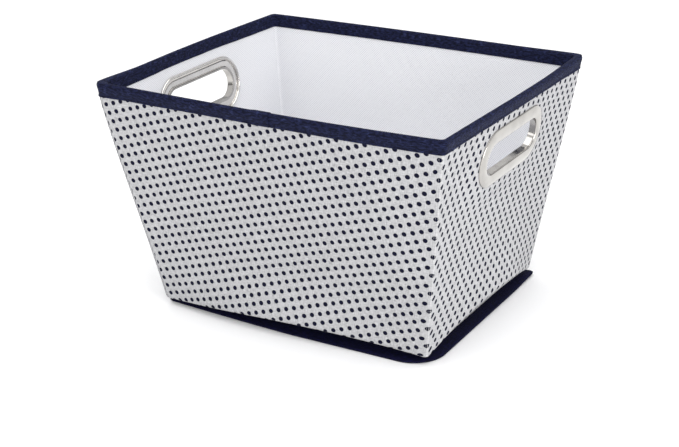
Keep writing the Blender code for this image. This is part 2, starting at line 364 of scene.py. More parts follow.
def thicken(obj, thickness, offset=-1.0):
    """Gives a sheet its thickness, inwards unless offset says otherwise."""
    solid = obj.modifiers.new("thickness", "SOLIDIFY")
    solid.thickness = thickness
    solid.offset = offset
    solid.use_even_offset = True
    return obj


# The print: a square lattice of dots on the cloth laid flat. Each wall has the middle of one
# dot, in (a, s) of that wall, and the turn of the rows.
DOT_PITCH = 7.5 * MM
PRINT_FRONT = (-0.98 * MM, -88.62 * MM, math.radians(17.75))
PRINT_RIGHT = (-47.9 * MM, -95.98 * MM, math.radians(36.56))
# The whole rows between those two dots, by way of the crease, and how far the two prints are
# eased into each other on either side of it.
CREASE_COUNT = Vector((24, 12))
CREASE_BLEND = 7 * MM
CORNER_ARC = CORNER_RADIUS * math.pi / 2
# The most that the cloth is pulled out of square, under the front rim right of the middle.
STRAIN = (2.9 * MM, 1.8 * MM)


def lattice(place, a, s):
    """How many rows (a, s) is from that dot, along both directions of the lattice."""
    across, down, turn = a - place[0], s - place[1], place[2]
    return Vector((across * math.cos(turn) + down * math.sin(turn),
                   across * math.sin(turn) - down * math.cos(turn))) / DOT_PITCH


# The turn that the flat cloth makes from one wall to the next.
CORNER_TURN = math.atan(TAPER_X / slant(FRONT)) + math.atan(TAPER_Y / slant(RIGHT))


def half_along(side, s):
    """Half the length of a wall's flat part, s down its slope from the rim."""
    return half_size(HEIGHT + s / slant(side), 0)[side % 2] - CORNER_RADIUS


def carried_on(place, turn, end, start, a, s):
    """The print of one wall, carried on round its end to a wall that begins at start."""
    a -= start
    return lattice(place, end + a * math.cos(turn) - s * math.sin(turn),
                   a * math.sin(turn) + s * math.cos(turn))


def print_uv(side, a, s):
    """Lattice coordinates on each wall, joined up across the front corners."""
    half = half_along(side, s)
    if side == FRONT:
        across = a / (2 * half) + 0.5
        strain = hump(across, 2.1, 1.2) * (1 - smooth(-s, 0.0, 95 * MM))
        own = lattice(PRINT_FRONT, a + STRAIN[0] * strain, s + STRAIN[1] * strain)
        other = lattice(PRINT_RIGHT, -half_along(RIGHT, s) - CORNER_ARC, s) + CREASE_COUNT
        gap = other - lattice(PRINT_FRONT, half, s)
        return own + gap * 0.5 * smooth(a, half - CREASE_BLEND, half + CORNER_ARC)
    if side == RIGHT:
        own = lattice(PRINT_RIGHT, a, s) + CREASE_COUNT
        other = lattice(PRINT_FRONT, half_along(FRONT, s) + CORNER_ARC, s)
        gap = other - lattice(PRINT_RIGHT, -half, s) - CREASE_COUNT
        return own + gap * 0.5 * (1 - smooth(a, -half - CORNER_ARC, -half + CREASE_BLEND))
    # The back and left walls carry on the print of the wall beside them, turned as the flat
    # cloth is.
    if side == LEFT:
        end = -half_along(FRONT, 0) - CORNER_ARC / 2 + 0.8 * CORNER_SPREAD[LEFT][0]
        start = half_along(LEFT, 0) + CORNER_ARC / 2
        return carried_on(PRINT_FRONT, -CORNER_TURN, end, start, a, s)
    end = half_along(RIGHT, 0) + CORNER_ARC / 2
    start = -half_along(BACK, 0) - CORNER_ARC / 2
    return carried_on(PRINT_RIGHT, CORNER_TURN, end, start, a, s) + CREASE_COUNT


def shift_along(station, s, side):
    """How far the corners' spread moves a station along that wall."""
    z = HEIGHT + s / slant(station[0])
    return turned(spread_at(station, z), (4 - side) % 4).x


def along_wall(station, s):
    """How far along the flat cloth a station is from its wall's middle, s down the wall."""
    side, along, angle = station
    half = half_along(side, s)
    off = shift_along(station, s, side)
    before, after = CORNER_SOFTNESS[side - 1], CORNER_SOFTNESS[side]
    if along is None:
        return half - after + (CORNER_RADIUS + after) * angle + off
    return mix(before - half, half - after, along) + off


def print_at(station, s):
    """Lattice coordinates of a station, s down its wall, shared between two walls at a corner."""
    side, along, angle = station
    here = print_uv(side, along_wall(station, s), s)
    if along is not None:
        return here
    share = angle / (math.pi / 2)
    following = (side + 1) % 4
    soft = CORNER_SOFTNESS[side]
    arc = (CORNER_RADIUS + soft) * math.pi / 2
    off = shift_along(station, s, following)
    after = soft - half_along(following, s) - arc * (1 - share) + off
    return here.lerp(print_uv(following, after, s), share)


def from_crease(station):
    """Distance from the nearest corner's crease, along the cloth at mid height."""
    side, along, angle = station
    if along is None:
        return CORNER_RADIUS * angle - CORNER_ARC / 2
    return min(along, 1 - along) * 2 * half_along(side, -HEIGHT / 2) + CORNER_ARC / 2


# How near the opening's edge a vertex is pulled on to it, before the cut and after.
SNAP_BEFORE = 1.3 * MM
SNAP_AFTER = 3 * MM


def trim_hole(obj, edge, side):
    """Cuts the handle's opening out of a sheet on that wall, edge outside the opening's edge."""
    sign = 1 if side == RIGHT else -1
    scale = slant(side)
    bm = bmesh.new()
    bm.from_mesh(obj.data)

    def flat(point):
        return sign * point.y, (point.z - HANDLE_Z) * scale

    def off_edge(point):
        return oval_distance(*flat(point)) - edge

    def pull_to_edge(vert):
        u, w = flat(vert.co)
        core = min(max(u, -HALF_STRAIGHT), HALF_STRAIGHT)
        goal = Vector((u - core, w)).normalized() * (OPENING_HEIGHT / 2 + edge)
        dz = (goal.y - w) / scale
        vert.co += Vector((sign * dz * TAPER_X, sign * (core + goal.x - u), dz))

    for vert in bm.verts:
        if vert.co.x * sign > 0.1 and abs(off_edge(vert.co)) < SNAP_BEFORE:
            pull_to_edge(vert)
    inside = [face for face in bm.faces if face.calc_center_median().x * sign > 0.1
              and off_edge(face.calc_center_median()) < -0.05 * MM]
    bmesh.ops.delete(bm, geom=inside, context="FACES")
    for vert in bm.verts:
        if vert.is_boundary and vert.co.x * sign > 0.1 and abs(off_edge(vert.co)) < SNAP_AFTER:
            pull_to_edge(vert)
    bm.to_mesh(obj.data)
    bm.free()


# Rows of a wall's cloth: down to the fold, and through the tuck into the lip.
WALL_ROWS = 74
TUCK_ROWS = 46
CLOTH_TOP = HEIGHT - 1.6 * MM


def hanging_cloth(station, depth, radius, fold):
    """One column of a wall's cloth from the rim to the fold, with a little unevenness."""
    column = []
    for row in range(WALL_ROWS + 1):
        z = CLOTH_TOP + (fold - CLOTH_TOP) * (row / WALL_ROWS)
        point = wall_point(station, depth, z, radius)
        calm = smooth(z, fold, fold + 25 * MM)
        calm *= 1 - smooth(z, HEIGHT - 30 * MM, HEIGHT - 14 * MM)
        calm *= bow(station) ** 0.5
        point += turned((0, -0.22 * MM * ripple(point, 42 * MM, 3.1) * calm, 0), station[0])
        column.append(point)
    return column


def wall_sheet(name, depth, radius, fold_drop, root_inset, lip_z, bends, thickness):
    """A cloth wall: down the outside of the bin, in under the fold and out into the lip."""
    columns, dots, weave, creases = [], [], [], []
    travelled, previous = 0.0, None
    for station in ring_stations():
        wall = hanging_cloth(station, depth, radius, fold_height(station) + fold_drop)
        middle = wall[WALL_ROWS // 2]
        if previous is not None:
            travelled += (middle - previous).length
        previous = middle
        root = lip_point(station, root_inset, lip_z)
        out = lip_point(station, root_inset - 2.2 * MM, lip_z)
        hem = lip_point(station, HEM_INSET, lip_z)
        tucked = resampled(fillet([wall[-3], wall[-1], root, out], bends, 7), TUCK_ROWS)
        column = wall[:-3] + tucked + [out.lerp(hem, 0.5), hem]
        s = 0.0
        dot_row, weave_row = [], []
        for i, point in enumerate(column):
            if i < len(wall) - 3:
                s = (point.z - HEIGHT) * slant(station[0])
            else:
                s -= (point - column[i - 1]).length
            dot_row.append(print_at(station, s))
            weave_row.append((travelled, s))
        columns.append(column)
        dots.append(dot_row)
        weave.append(weave_row)
        creases.append([(from_crease(station) / MM, 0.0)] * len(column))
    obj = grid_object(name, columns, uvs={"print": dots, "cloth": weave, "crease": creases})
    bm = bmesh.new()
    bm.from_mesh(obj.data)
    bmesh.ops.remove_doubles(bm, verts=bm.verts, dist=0.02 * MM)
    bm.to_mesh(obj.data)
    bm.free()
    for side in (RIGHT, LEFT):
        trim_hole(obj, 1.6 * MM, side)
    return thicken(obj, thickness)


def resampled(points, count):
    """The same path as count points, evenly spaced."""
    lengths = [0.0]
    for p, q in zip(points, points[1:]):
        lengths.append(lengths[-1] + (q - p).length)
    made, i = [], 0
    for step in range(count):
        goal = lengths[-1] * step / (count - 1)
        while i < len(points) - 2 and lengths[i + 1] < goal:
            i += 1
        span = lengths[i + 1] - lengths[i]
        share = (goal - lengths[i]) / span if span else 0.0
        made.append(points[i].lerp(points[i + 1], min(max(share, 0.0), 1.0)))
    return made


outer_cloth = wall_sheet("outer_cloth", 0.0, CORNER_RADIUS, 0.0, 13.2 * MM, LIP_OUTER_Z,
                         (3.5 * MM, 1.6 * MM), CLOTH)
lining_cloth = wall_sheet("lining_cloth", LINING_OUT, LINING_CORNER_RADIUS, 1.5 * MM, 14.2 * MM,
                          LIP_LINING_Z, (4.5 * MM, 1.8 * MM), LINING)


def wall_board(name, side):
    """A bowed board between the cloths, from the rim down to the fold, cut for the handle."""
    columns, rows = 70, 56
    end_gap = 3.2 * MM
    top_z = HEIGHT - 2.0 * MM
    grid = []
    for i in range(columns + 1):
        along = i / columns
        bottom_z = max(BOARD_BOTTOM, fold_height((side, along, 0.0)) + 2.5 * MM)
        column = []
        for j in range(rows + 1):
            z = top_z + (bottom_z - top_z) * j / rows
            sizes = half_size(z, BOARD_OUT)
            half, out = sizes[side % 2] - end_gap, sizes[1 - side % 2]
            x = (2 * along - 1) * half
            across = x / (2 * (half + end_gap)) + 0.5
            column.append(turned((x, -out - crown(side, across, z), z), side))
        grid.append(column)
    obj = grid_object(name, grid)
    if side % 2:
        trim_hole(obj, 1.3 * MM, side)
    thicken(obj, BOARD)
    bevel = obj.modifiers.new("worn_edges", "BEVEL")
    bevel.width = 0.25 * MM
    bevel.segments = 2
    bevel.limit_method = "ANGLE"
    bevel.angle_limit = math.radians(50)
    return obj


SIDE_WORDS = ("front", "right", "back", "left")
boards = [wall_board("board_" + word, side) for side, word in enumerate(SIDE_WORDS)]


# Bindings. Distance round the rim is measured from the front left corner, front first.
SIDE_STEPS = 240
CORNER_STEPS = 24


class Loop:
    """Stations by their true distance round the bin, along place(station)."""

    def __init__(self, place):
        self.stations = []
        for side in range(4):
            for step in range(SIDE_STEPS + 1):
                self.stations.append((side, step / SIDE_STEPS, 0.0))
            for step in range(CORNER_STEPS + 1):
                self.stations.append((side, None, step / CORNER_STEPS * math.pi / 2))
        self.stations.append(self.stations[0])
        points = [place(station) for station in self.stations]
        self.distances = [0.0]
        for p, q in zip(points, points[1:]):
            self.distances.append(self.distances[-1] + (q - p).length)
        self.length = self.distances[-1]

    def at(self, distance):
        """The station that far round."""
        distance %= self.length
        i = min(bisect.bisect_right(self.distances, distance), len(self.stations) - 1) - 1
        here, following = self.stations[i], self.stations[i + 1]
        same_kind = here[0] == following[0] and (here[1] is None) == (following[1] is None)
        if not same_kind:
            return here
        span = self.distances[i + 1] - self.distances[i]
        share = (distance - self.distances[i]) / max(span, 1e-9)
        if here[1] is None:
            return here[0], None, mix(here[2], following[2], share)
        return here[0], mix(here[1], following[1], share), 0.0


rim_loop = Loop(lambda station: wall_point(station, 0, HEIGHT))
base_loop = Loop(lambda station: lip_point(station, 6 * MM, 0))
RIM_ROUND = rim_loop.length
BASE_ROUND = base_loop.length

STITCH = 3.1 * MM
STITCH_GAP = 0.55 * MM
THREAD_RADIUS = 0.24 * MM
TAPE_STEP = STITCH / 4
RIM_LOW = HEIGHT - TAPE_WIDTH
RIM_STITCH_Z = RIM_LOW + 1.9 * MM
RIM_JOIN = RIM_WIDTH / 2 - CORNER_RADIUS + 8 * MM
OVERLAP = 13 * MM
OVERLAP_RISE = 0.85 * MM
BASE_STITCH_INSET = 10


def pucker(distance):
    """Where the stitches pull the tape in: 1 under a stitch's ends, 0 between them."""
    return 0.5 + 0.5 * math.cos(2 * math.pi * distance / STITCH)


def overlap_rise(to_end):
    """How far the rim tape stands out that far before its end, which laps over its start."""
    return OVERLAP_RISE * (1 - smooth(to_end, OVERLAP - 1 * MM, OVERLAP + 7 * MM))


def laid_out(section, travelled):
    """Flat coordinates of a tape's section: how far round the bin, and how far across."""
    row, across = [(travelled, 0.0)], 0.0
    for point, following in zip(section, section[1:]):
        across += (following - point).length
        row.append((travelled, across))
    return row


# How far the rim is above or below its level in the middle of each side.
RIM_RISE = (-0.75 * MM, -0.6 * MM, 0.5 * MM, 0.4 * MM)
# Half the tape's width over the rim's top, about a middle that deep, and its rounding's height.
TOP_HALF = 2.03 * MM
TOP_MIDDLE = 1.18 * MM
TOP_ROUND = 1.75 * MM


def rim_section(station, distance, outward):
    """The tape's outer surface, from its lower inside edge over the top to the outside edge."""
    wave = 0.18 * MM * ripple((distance, 0, 0), 17 * MM, 5.3)
    pull = 0.16 * MM * pucker(distance)
    puff = 0.12 * MM * ripple((distance, 1, 0), 24 * MM, 9.1)
    rise = 0.0 if station[1] is None else RIM_RISE[station[0]] * hump(station[1], 1.0, 0.7)
    section = []
    for depth, z in (
        (-0.66 * MM, RIM_LOW + wave), (-0.74 * MM, RIM_LOW + 0.8 * MM),
        (-0.58 * MM + pull, RIM_STITCH_Z), (-0.98 * MM, RIM_STITCH_Z + 1.4 * MM),
        (-1.32 * MM, RIM_LOW + 5.5 * MM), (-1.45 * MM, RIM_LOW + 7.8 * MM),
        (-1.18 * MM, RIM_LOW + 9.8 * MM),
    ):
        z += rise * smooth(z, RIM_LOW, HEIGHT)
        section.append(tape_point(station, depth - outward - puff, z))
    for step in range(9):
        angle = math.pi - math.pi * step / 8
        depth = TOP_MIDDLE + TOP_HALF * math.cos(angle)
        z = HEIGHT - TOP_ROUND + TOP_ROUND * math.sin(angle) + rise
        tilt = outward * (1 if depth < TOP_MIDDLE else -1) * abs(depth - TOP_MIDDLE) / TOP_HALF
        lift = outward * max(0.0, (z - HEIGHT + TOP_ROUND) / TOP_ROUND)
        section.append(tape_point(station, depth - tilt, z + lift))
    for depth, z in (
        (0.66 * MM, RIM_LOW + 8 * MM), (0.66 * MM, RIM_LOW + 5.5 * MM),
        (0.64 * MM, RIM_STITCH_Z + 1.6 * MM), (0.56 * MM, RIM_STITCH_Z),
        (0.58 * MM, RIM_LOW + 1.5 * MM), (0.58 * MM, RIM_LOW + 1.1 * MM + wave),
    ):
        section.append(tape_point(station, LINING_IN + depth + outward, z + max(rise, 0.0)))
    return section[::-1]


def rim_tape():
    """The tape over the rim, once round and on over its own start."""
    columns, weave = [], []
    count = int((RIM_ROUND + OVERLAP) / TAPE_STEP)
    for i in range(count + 1):
        travelled = i * TAPE_STEP
        distance = RIM_JOIN - OVERLAP + travelled
        outward = overlap_rise((count - i) * TAPE_STEP)
        columns.append(rim_section(rim_loop.at(distance), distance, outward))
        weave.append(laid_out(columns[-1], travelled))
    return thicken(grid_object("rim_tape", columns, uvs={"cloth": weave}), TAPE)


rim_tape_piece = rim_tape()


def base_section(station, distance):
    """The base tape's outer surface: over the lip, round its edge and back under it."""
    under = 0.03 * MM
    wave = 0.15 * MM * ripple((distance, 2, 0), 19 * MM, 2.2)
    pull = 0.12 * MM * pucker(distance)
    section = [lip_point(station, inset * MM, under) for inset in (12, 9, 6, 3.5, 2)]
    middle = LIP_TOP_Z / 2
    for step in range(7):
        angle = -math.pi / 2 + math.pi * step / 6
        inset = 1.25 * MM - 1.25 * MM * math.cos(angle)
        section.append(lip_point(station, inset, middle + (middle - under) * math.sin(angle)))
    for inset, rise in (
        (2.2, 0.1), (4, 0.16), (6, 0.18), (8.2, 0.08), (BASE_STITCH_INSET, 0.0), (11.2, 0.02),
    ):
        dip = pull if inset == BASE_STITCH_INSET else 0.0
        section.append(lip_point(station, inset * MM, LIP_TOP_Z + rise * MM - dip))
    section.append(lip_point(station, TAPE_WIDTH + wave, LIP_TOP_Z))
    return section[::-1]


def base_tape():
    """The tape round the base seam, in one closed ring."""
    columns, weave = [], []
    count = int(BASE_ROUND / TAPE_STEP)
    for i in range(count):
        distance = BASE_ROUND * i / count
        columns.append(base_section(base_loop.at(distance), distance))
        weave.append(laid_out(columns[-1], distance))
    weave.append([(BASE_ROUND, v) for _, v in weave[0]])
    return thicken(grid_object("base_tape", columns, closed=True, uvs={"cloth": weave}), TAPE)


base_tape_piece = base_tape()


def stitches(name, total, place):
    """A row of lockstitches. place(distance, out) is a point that far round and off the cloth."""
    bm = bmesh.new()
    count = round(total / STITCH)
    step = total / count
    sides = 6
    # Along a stitch and how full it is there: it dips into the cloth at both ends.
    profile = (-0.42, 0.02), (-0.3, 0.75), (-0.12, 1.0), (0.12, 1.0), (0.3, 0.75), (0.42, 0.02)
    length = (step - STITCH_GAP) / 0.84
    for i in range(count):
        rings = []
        for share, height in profile:
            distance = i * step + step / 2 + share * length
            off = THREAD_RADIUS * (height * 1.1 - 0.55)
            centre = place(distance, off)
            ahead = place(distance + 0.2 * MM, off) - centre
            out = (place(distance, 1 * MM) - place(distance, 0)).normalized()
            across = out.cross(ahead.normalized())
            size = THREAD_RADIUS * (0.55 + 0.45 * height)
            rings.append([
                bm.verts.new(centre + (out * math.sin(t) + across * math.cos(t)) * size)
                for t in (2 * math.pi * k / sides for k in range(sides))
            ])
        join_rings(bm, rings)
        bm.faces.new(rings[0][::-1])
        bm.faces.new(rings[-1])
    return finish_mesh(name, bm)


def rim_outside_place(distance, out):
    depth = -0.46 * MM - overlap_rise((RIM_JOIN - distance) % RIM_ROUND) - out
    return tape_point(rim_loop.at(distance), depth, RIM_STITCH_Z)


def rim_inside_place(distance, out):
    depth = LINING_IN + 0.46 * MM + overlap_rise((RIM_JOIN - distance) % RIM_ROUND) + out
    return tape_point(rim_loop.at(distance), depth, RIM_STITCH_Z)


def base_place(distance, out):
    return lip_point(base_loop.at(distance), BASE_STITCH_INSET * MM, LIP_TOP_Z - 0.1 * MM + out)


rim_stitches_outside = stitches("rim_stitches_outside", RIM_ROUND, rim_outside_place)
rim_stitches_inside = stitches("rim_stitches_inside", RIM_ROUND, rim_inside_place)
base_stitches = stitches("base_stitches", BASE_ROUND, base_place)


def base_sheet():
    """The bottom cloth: in the seam at its edge, then down on the floor under the insert."""
    bm = bmesh.new()
    flat_from = 15.5
    rings = []
    for inset in (1.6, 4, 7, 10, 12, 12.8, 13.6, 14.4, 15.2, 16, 18, 24, 34, 48, 64):
        ring = []
        for station in ring_stations(48)[:-1]:
            point = lip_point(station, min(inset, flat_from) * MM, LIP_BASE_Z)
            down = smooth(inset, 12.2, 15.6)
            point.z = mix(point.z, LIP_BASE_Z - 0.3 * MM * down, down)
            if inset > flat_from:
                scale = 1 - (inset - flat_from) / 90
                point.x *= scale
                point.y *= scale
                point.z += 0.12 * MM * ripple(point, 30 * MM, 1.7)
            ring.append(bm.verts.new(point))
        rings.append(ring)
    join_rings(bm, rings)
    inner = rings[-1]
    middle = bm.verts.new((0, 0, LIP_BASE_Z - 0.3 * MM))
    for here, following in zip(inner, inner[1:] + inner[:1]):
        bm.faces.new((here, following, middle))
    lay_flat(bm, lambda point: point.xy)
    return thicken(finish_mesh("base_cloth", bm), 0.3 * MM, 0.0)


base_cloth = base_sheet()


# Handles: an oval face plate with its neck, and a washer behind it with a rolled bead.

def handle_frame(side):
    """A matrix from (along the wall, up it, out of it) to the bin, at the opening's middle."""
    sign = 1 if side == RIGHT else -1
    lean = math.atan(TAPER_X)
    up = Vector((sign * math.sin(lean), 0, math.cos(lean)))
    out = Vector((sign * math.cos(lean), 0, -math.sin(lean)))
    along = Vector((0, sign, 0))
    matrix = Matrix((along, up, out)).transposed().to_4x4()
    reach = half_size(HANDLE_Z, 0)[0] + crown(side, 0.5, HANDLE_Z)
    matrix.translation = turned((0, -reach, HANDLE_Z), side)
    return matrix


def oval_path(arc_steps=40, straight_steps=14):
    """(point on the opening's edge, outward direction) round the stadium, from its +u end."""
    radius = OPENING_HEIGHT / 2
    path = []
    for end in (1, -1):
        for step in range(arc_steps + 1):
            angle = (step / arc_steps - 0.5) * math.pi
            away = Vector((end * math.cos(angle), end * math.sin(angle)))
            path.append((Vector((end * HALF_STRAIGHT, 0)) + away * radius, away))
        for step in range(1, straight_steps):
            x = end * HALF_STRAIGHT * (1 - 2 * step / straight_steps)
            path.append((Vector((x, end * radius)), Vector((0, end))))
    turn = arc_steps // 2
    return path[turn:] + path[:turn]


def oval_ring(name, side, profile, slit=0.0):
    """A closed profile of (offset, w) swept round the opening; slit leaves a gap at its end."""
    matrix = handle_frame(side)
    bm = bmesh.new()
    sections = []
    for edge, away in oval_path():
        places = (edge + away * offset for offset, _ in profile)
        sections.append([matrix @ Vector((*flat, w)) for flat, (_, w) in zip(places, profile)])
    if slit:
        aside = matrix.to_3x3() @ Vector((0, slit / 2, 0))
        ends = sections[0]
        sections = [[p + aside for p in ends]] + sections[1:] + [[p - aside for p in ends]]
    rows = [[bm.verts.new(p) for p in section] for section in sections]
    join_rings(bm, rows)
    if slit:
        bm.faces.new(rows[0][::-1])
        bm.faces.new(rows[-1])
    else:
        join_rings(bm, (rows[-1], rows[0]))
    bmesh.ops.recalc_face_normals(bm, faces=bm.faces)
    return finish_mesh(name, bm, sharp=50)


def arc_points(centre, radius, start, end, steps):
    """(offset, w) points on an arc, angles in degrees from +offset towards +w."""
    made = []
    for step in range(steps + 1):
        angle = math.radians(mix(start, end, step / steps))
        made.append((centre[0] + radius * math.cos(angle), centre[1] + radius * math.sin(angle)))
    return made


METAL = 0.8 * MM
WASHER_GAP = 0.25 * MM


def face_plate(name, side):
    """One pressing: neck, a small radius, a domed flange and its turned-down outer edge."""
    neck_end = -(LINING_IN + WASHER_GAP + METAL + 0.3 * MM + METAL)
    lip_w = 2.1 * MM
    profile = [(0.0, neck_end + 0.2 * MM)]
    profile += [(0.0, w * MM) for w in (-2.6, -1.2, 0.0)]
    profile += arc_points((1.5 * MM, lip_w - 1.5 * MM), 1.5 * MM, 180, 96, 7)
    for share in (0.2, 0.35, 0.5, 0.65, 0.8, 0.9):
        dome = 0.28 * MM * math.sin(math.pi * min(share * 1.15, 1)) - 0.75 * MM * share ** 2.4
        profile.append((mix(1.5 * MM, FLANGE - 1.0 * MM, share), lip_w + dome))
    profile += arc_points((FLANGE - 0.95 * MM, 0.40 * MM), 0.95 * MM, 62, 0, 5)
    profile += [(FLANGE, 0.1 * MM), (FLANGE - 0.5 * MM, 0.1 * MM)]
    profile += [(FLANGE - 1.4 * MM, 0.55 * MM), (7 * MM, 1.25 * MM), (2.6 * MM, 1.4 * MM)]
    profile += [(1.3 * MM, 1.0 * MM), (METAL, 0.3 * MM), (METAL, neck_end + METAL)]
    profile += [(2.4 * MM, neck_end + METAL), (2.7 * MM, neck_end + 0.5 * MM)]
    profile += [(2.3 * MM, neck_end + 0.1 * MM), (0.9 * MM, neck_end), (0.3 * MM, neck_end)]
    return oval_ring(name, side, profile)


def washer(name, side):
    """A flat oval ring with a rolled bead round it, split at its back end."""
    near = -(LINING_IN + WASHER_GAP)
    bead = (FLANGE - 0.75 * MM, near - 1.05 * MM)
    profile = [(METAL + 0.2 * MM, near), (FLANGE - 1.0 * MM, near)]
    profile += arc_points(bead, 1.05 * MM, 75, -150, 12)
    # A groove parts the bead from the flat ring.
    profile += [(FLANGE - 1.95 * MM, near - 0.45 * MM), (FLANGE - 2.35 * MM, near - 0.45 * MM)]
    profile += [(FLANGE - 2.75 * MM, near - METAL - 0.1 * MM), (6 * MM, near - METAL - 0.25 * MM)]
    profile += [(2.4 * MM, near - METAL - 0.1 * MM)]
    profile += arc_points((METAL + 0.7 * MM, near - METAL + 0.4 * MM), 0.5 * MM, 270, 180, 4)
    return oval_ring(name, side, profile, slit=0.35 * MM)


handles = []
for side, word in ((RIGHT, "right"), (LEFT, "left")):
    handles.append((face_plate("handle_face_" + word, side), "grommet_face_" + word))
    handles.append((washer("handle_washer_" + word, side), "grommet_washer_" + word))


# The loose insert: a board in a sewn cloth sleeve.
INSERT_HALF_X = 109.5 * MM
INSERT_HALF_Y = 81.5 * MM
INSERT_LOW = 1.8 * MM
INSERT_HIGH = 4.7 * MM


def insert_sleeve():
    """Taut cloth round the board, with a flat sewn seam along the open end."""
    bm = bmesh.new()
    rings = []
    round_edge = 1.3 * MM
    seam = 6 * MM
    steps, flat_steps, edge_steps = 60, 34, 6
    middle = (INSERT_LOW + INSERT_HIGH) / 2
    flat_half = INSERT_HALF_Y - round_edge
    for i in range(steps + 1):
        x = mix(-INSERT_HALF_X, INSERT_HALF_X, i / steps)
        closing = smooth(x, INSERT_HALF_X - seam - 2 * MM, INSERT_HALF_X - 1.5 * MM)
        start = smooth(-x, INSERT_HALF_X - 1.4 * MM, INSERT_HALF_X)
        half = (INSERT_HIGH - INSERT_LOW) / 2 * (1 - 0.30 * closing) * (1 - 0.45 * start)
        ring = []
        for sign in (1, -1):
            for j in range(flat_steps + 1):
                y = mix(-flat_half, flat_half, j / flat_steps) * sign
                hollow = 0.08 * MM * (1 + ripple((x, y, sign), 26 * MM, 4.4))
                ring.append((x, y, middle + sign * (half - hollow)))
            for step in range(1, edge_steps):
                angle = math.pi / 2 - math.pi * step / edge_steps
                y = flat_half + round_edge * math.cos(angle)
                ring.append((x, sign * y, middle + sign * half * math.sin(angle)))
        rings.append([bm.verts.new(point) for point in ring])
    join_rings(bm, rings)
    bm.faces.new(rings[0])
    bm.faces.new(rings[-1][::-1])
    lay_flat(bm, lambda point: (point.x, point.y + point.z))
    bmesh.ops.recalc_face_normals(bm, faces=bm.faces)
    return thicken(finish_mesh("insert_sleeve", bm), 0.3 * MM)


insert_cloth = insert_sleeve()


# Materials. Cloth layers carry a flat layout in metres, so that threads have their real size.

class Recipe:
    """A material and short ways to add nodes to it."""

    def __init__(self, name, colour, roughness, metallic=0.0):
        self.material = bpy.data.materials.new(name)
        self.material.use_nodes = True
        self.tree = self.material.node_tree
        self.shader = self.tree.nodes["Principled BSDF"]
        self.shader.inputs["Base Color"].default_value = (*colour, 1)
        self.shader.inputs["Roughness"].default_value = roughness
        self.shader.inputs["Metallic"].default_value = metallic
        self.material.diffuse_color = (*colour, 1)

    def add(self, kind, **values):
        node = self.tree.nodes.new(kind)
        for key, value in values.items():
            setattr(node, key, value)
        return node

    def link(self, source, target):
        self.tree.links.new(source, target)

    def feed(self, sockets, values):
        """Gives each socket its value: a number, a colour or another node's output."""
        for socket, value in zip(sockets, values):
            if isinstance(value, (int, float)):
                socket.default_value = value
            elif isinstance(value, tuple):
                socket.default_value = (*value, 1)
            else:
                self.link(value, socket)

    def math(self, operation, *values):
        node = self.add("ShaderNodeMath", operation=operation)
        self.feed(node.inputs, values)
        return node.outputs[0]

    def ramp(self, value, low, high, to_low=0.0, to_high=1.0, smoothly=True):
        """value from low to high, taken to the range from to_low to to_high."""
        node = self.add("ShaderNodeMapRange")
        node.interpolation_type = "SMOOTHSTEP" if smoothly else "LINEAR"
        names = ("Value", "From Min", "From Max", "To Min", "To Max")
        self.feed([node.inputs[name] for name in names], (value, low, high, to_low, to_high))
        return node.outputs["Result"]

    def uv(self, layer):
        """The two coordinates of a flat layout."""
        node = self.add("ShaderNodeUVMap", uv_map=layer)
        split = self.add("ShaderNodeSeparateXYZ")
        self.link(node.outputs[0], split.inputs[0])
        return split.outputs[0], split.outputs[1]

    def vector(self, x, y, z=0.0):
        node = self.add("ShaderNodeCombineXYZ")
        self.feed(node.inputs, (x, y, z))
        return node.outputs[0]

    def place(self):
        return self.add("ShaderNodeTexCoord").outputs["Object"]

    def noise(self, vector, scale, detail=2.0, rough=0.5):
        node = self.add("ShaderNodeTexNoise")
        names = ("Vector", "Scale", "Detail", "Roughness")
        self.feed([node.inputs[name] for name in names], (vector, scale, detail, rough))
        return node.outputs["Fac"]

    def streaks(self, u, v, per_u, per_v, detail=2.0, rough=0.5):
        """Noise with its own scale along each coordinate."""
        place = self.vector(self.math("MULTIPLY", u, per_u), self.math("MULTIPLY", v, per_v))
        return self.noise(place, 1.0, detail, rough)

    def from_cell_middle(self, x, y):
        """Distance of (x, y) from the middle of its unit cell."""
        offs = [self.math("SUBTRACT", self.math("FRACT", value), 0.5) for value in (x, y)]
        squares = [self.math("MULTIPLY", off, off) for off in offs]
        return self.math("SQRT", self.math("ADD", *squares))

    def blend(self, share, low, high):
        """Colours low and high mixed by share."""
        node = self.add("ShaderNodeMix", data_type="RGBA")
        self.feed((node.inputs[0], node.inputs[6], node.inputs[7]), (share, low, high))
        return node.outputs[2]

    def bump(self, height, distance, strength, onto=None):
        node = self.add("ShaderNodeBump")
        names = ("Height", "Distance", "Strength")
        self.feed([node.inputs[name] for name in names], (height, distance, strength))
        if onto is not None:
            self.link(onto, node.inputs["Normal"])
        return node.outputs[0]

    def colour(self, output):
        self.link(output, self.shader.inputs["Base Color"])

    def roughness(self, output):
        self.link(output, self.shader.inputs["Roughness"])

    def normal(self, output):
        self.link(output, self.shader.inputs["Normal"])


def plain_weave(recipe, u, v, pitch):
    """Height of a plain weave: crossing threads that go over and under."""
    along = recipe.math("SINE", recipe.math("MULTIPLY", u, 2 * math.pi / pitch))
    across = recipe.math("SINE", recipe.math("MULTIPLY", v, 2 * math.pi / pitch))
    over = recipe.math("MULTIPLY", along, across)
    return recipe.ramp(over, -1.0, 1.0, smoothly=False)


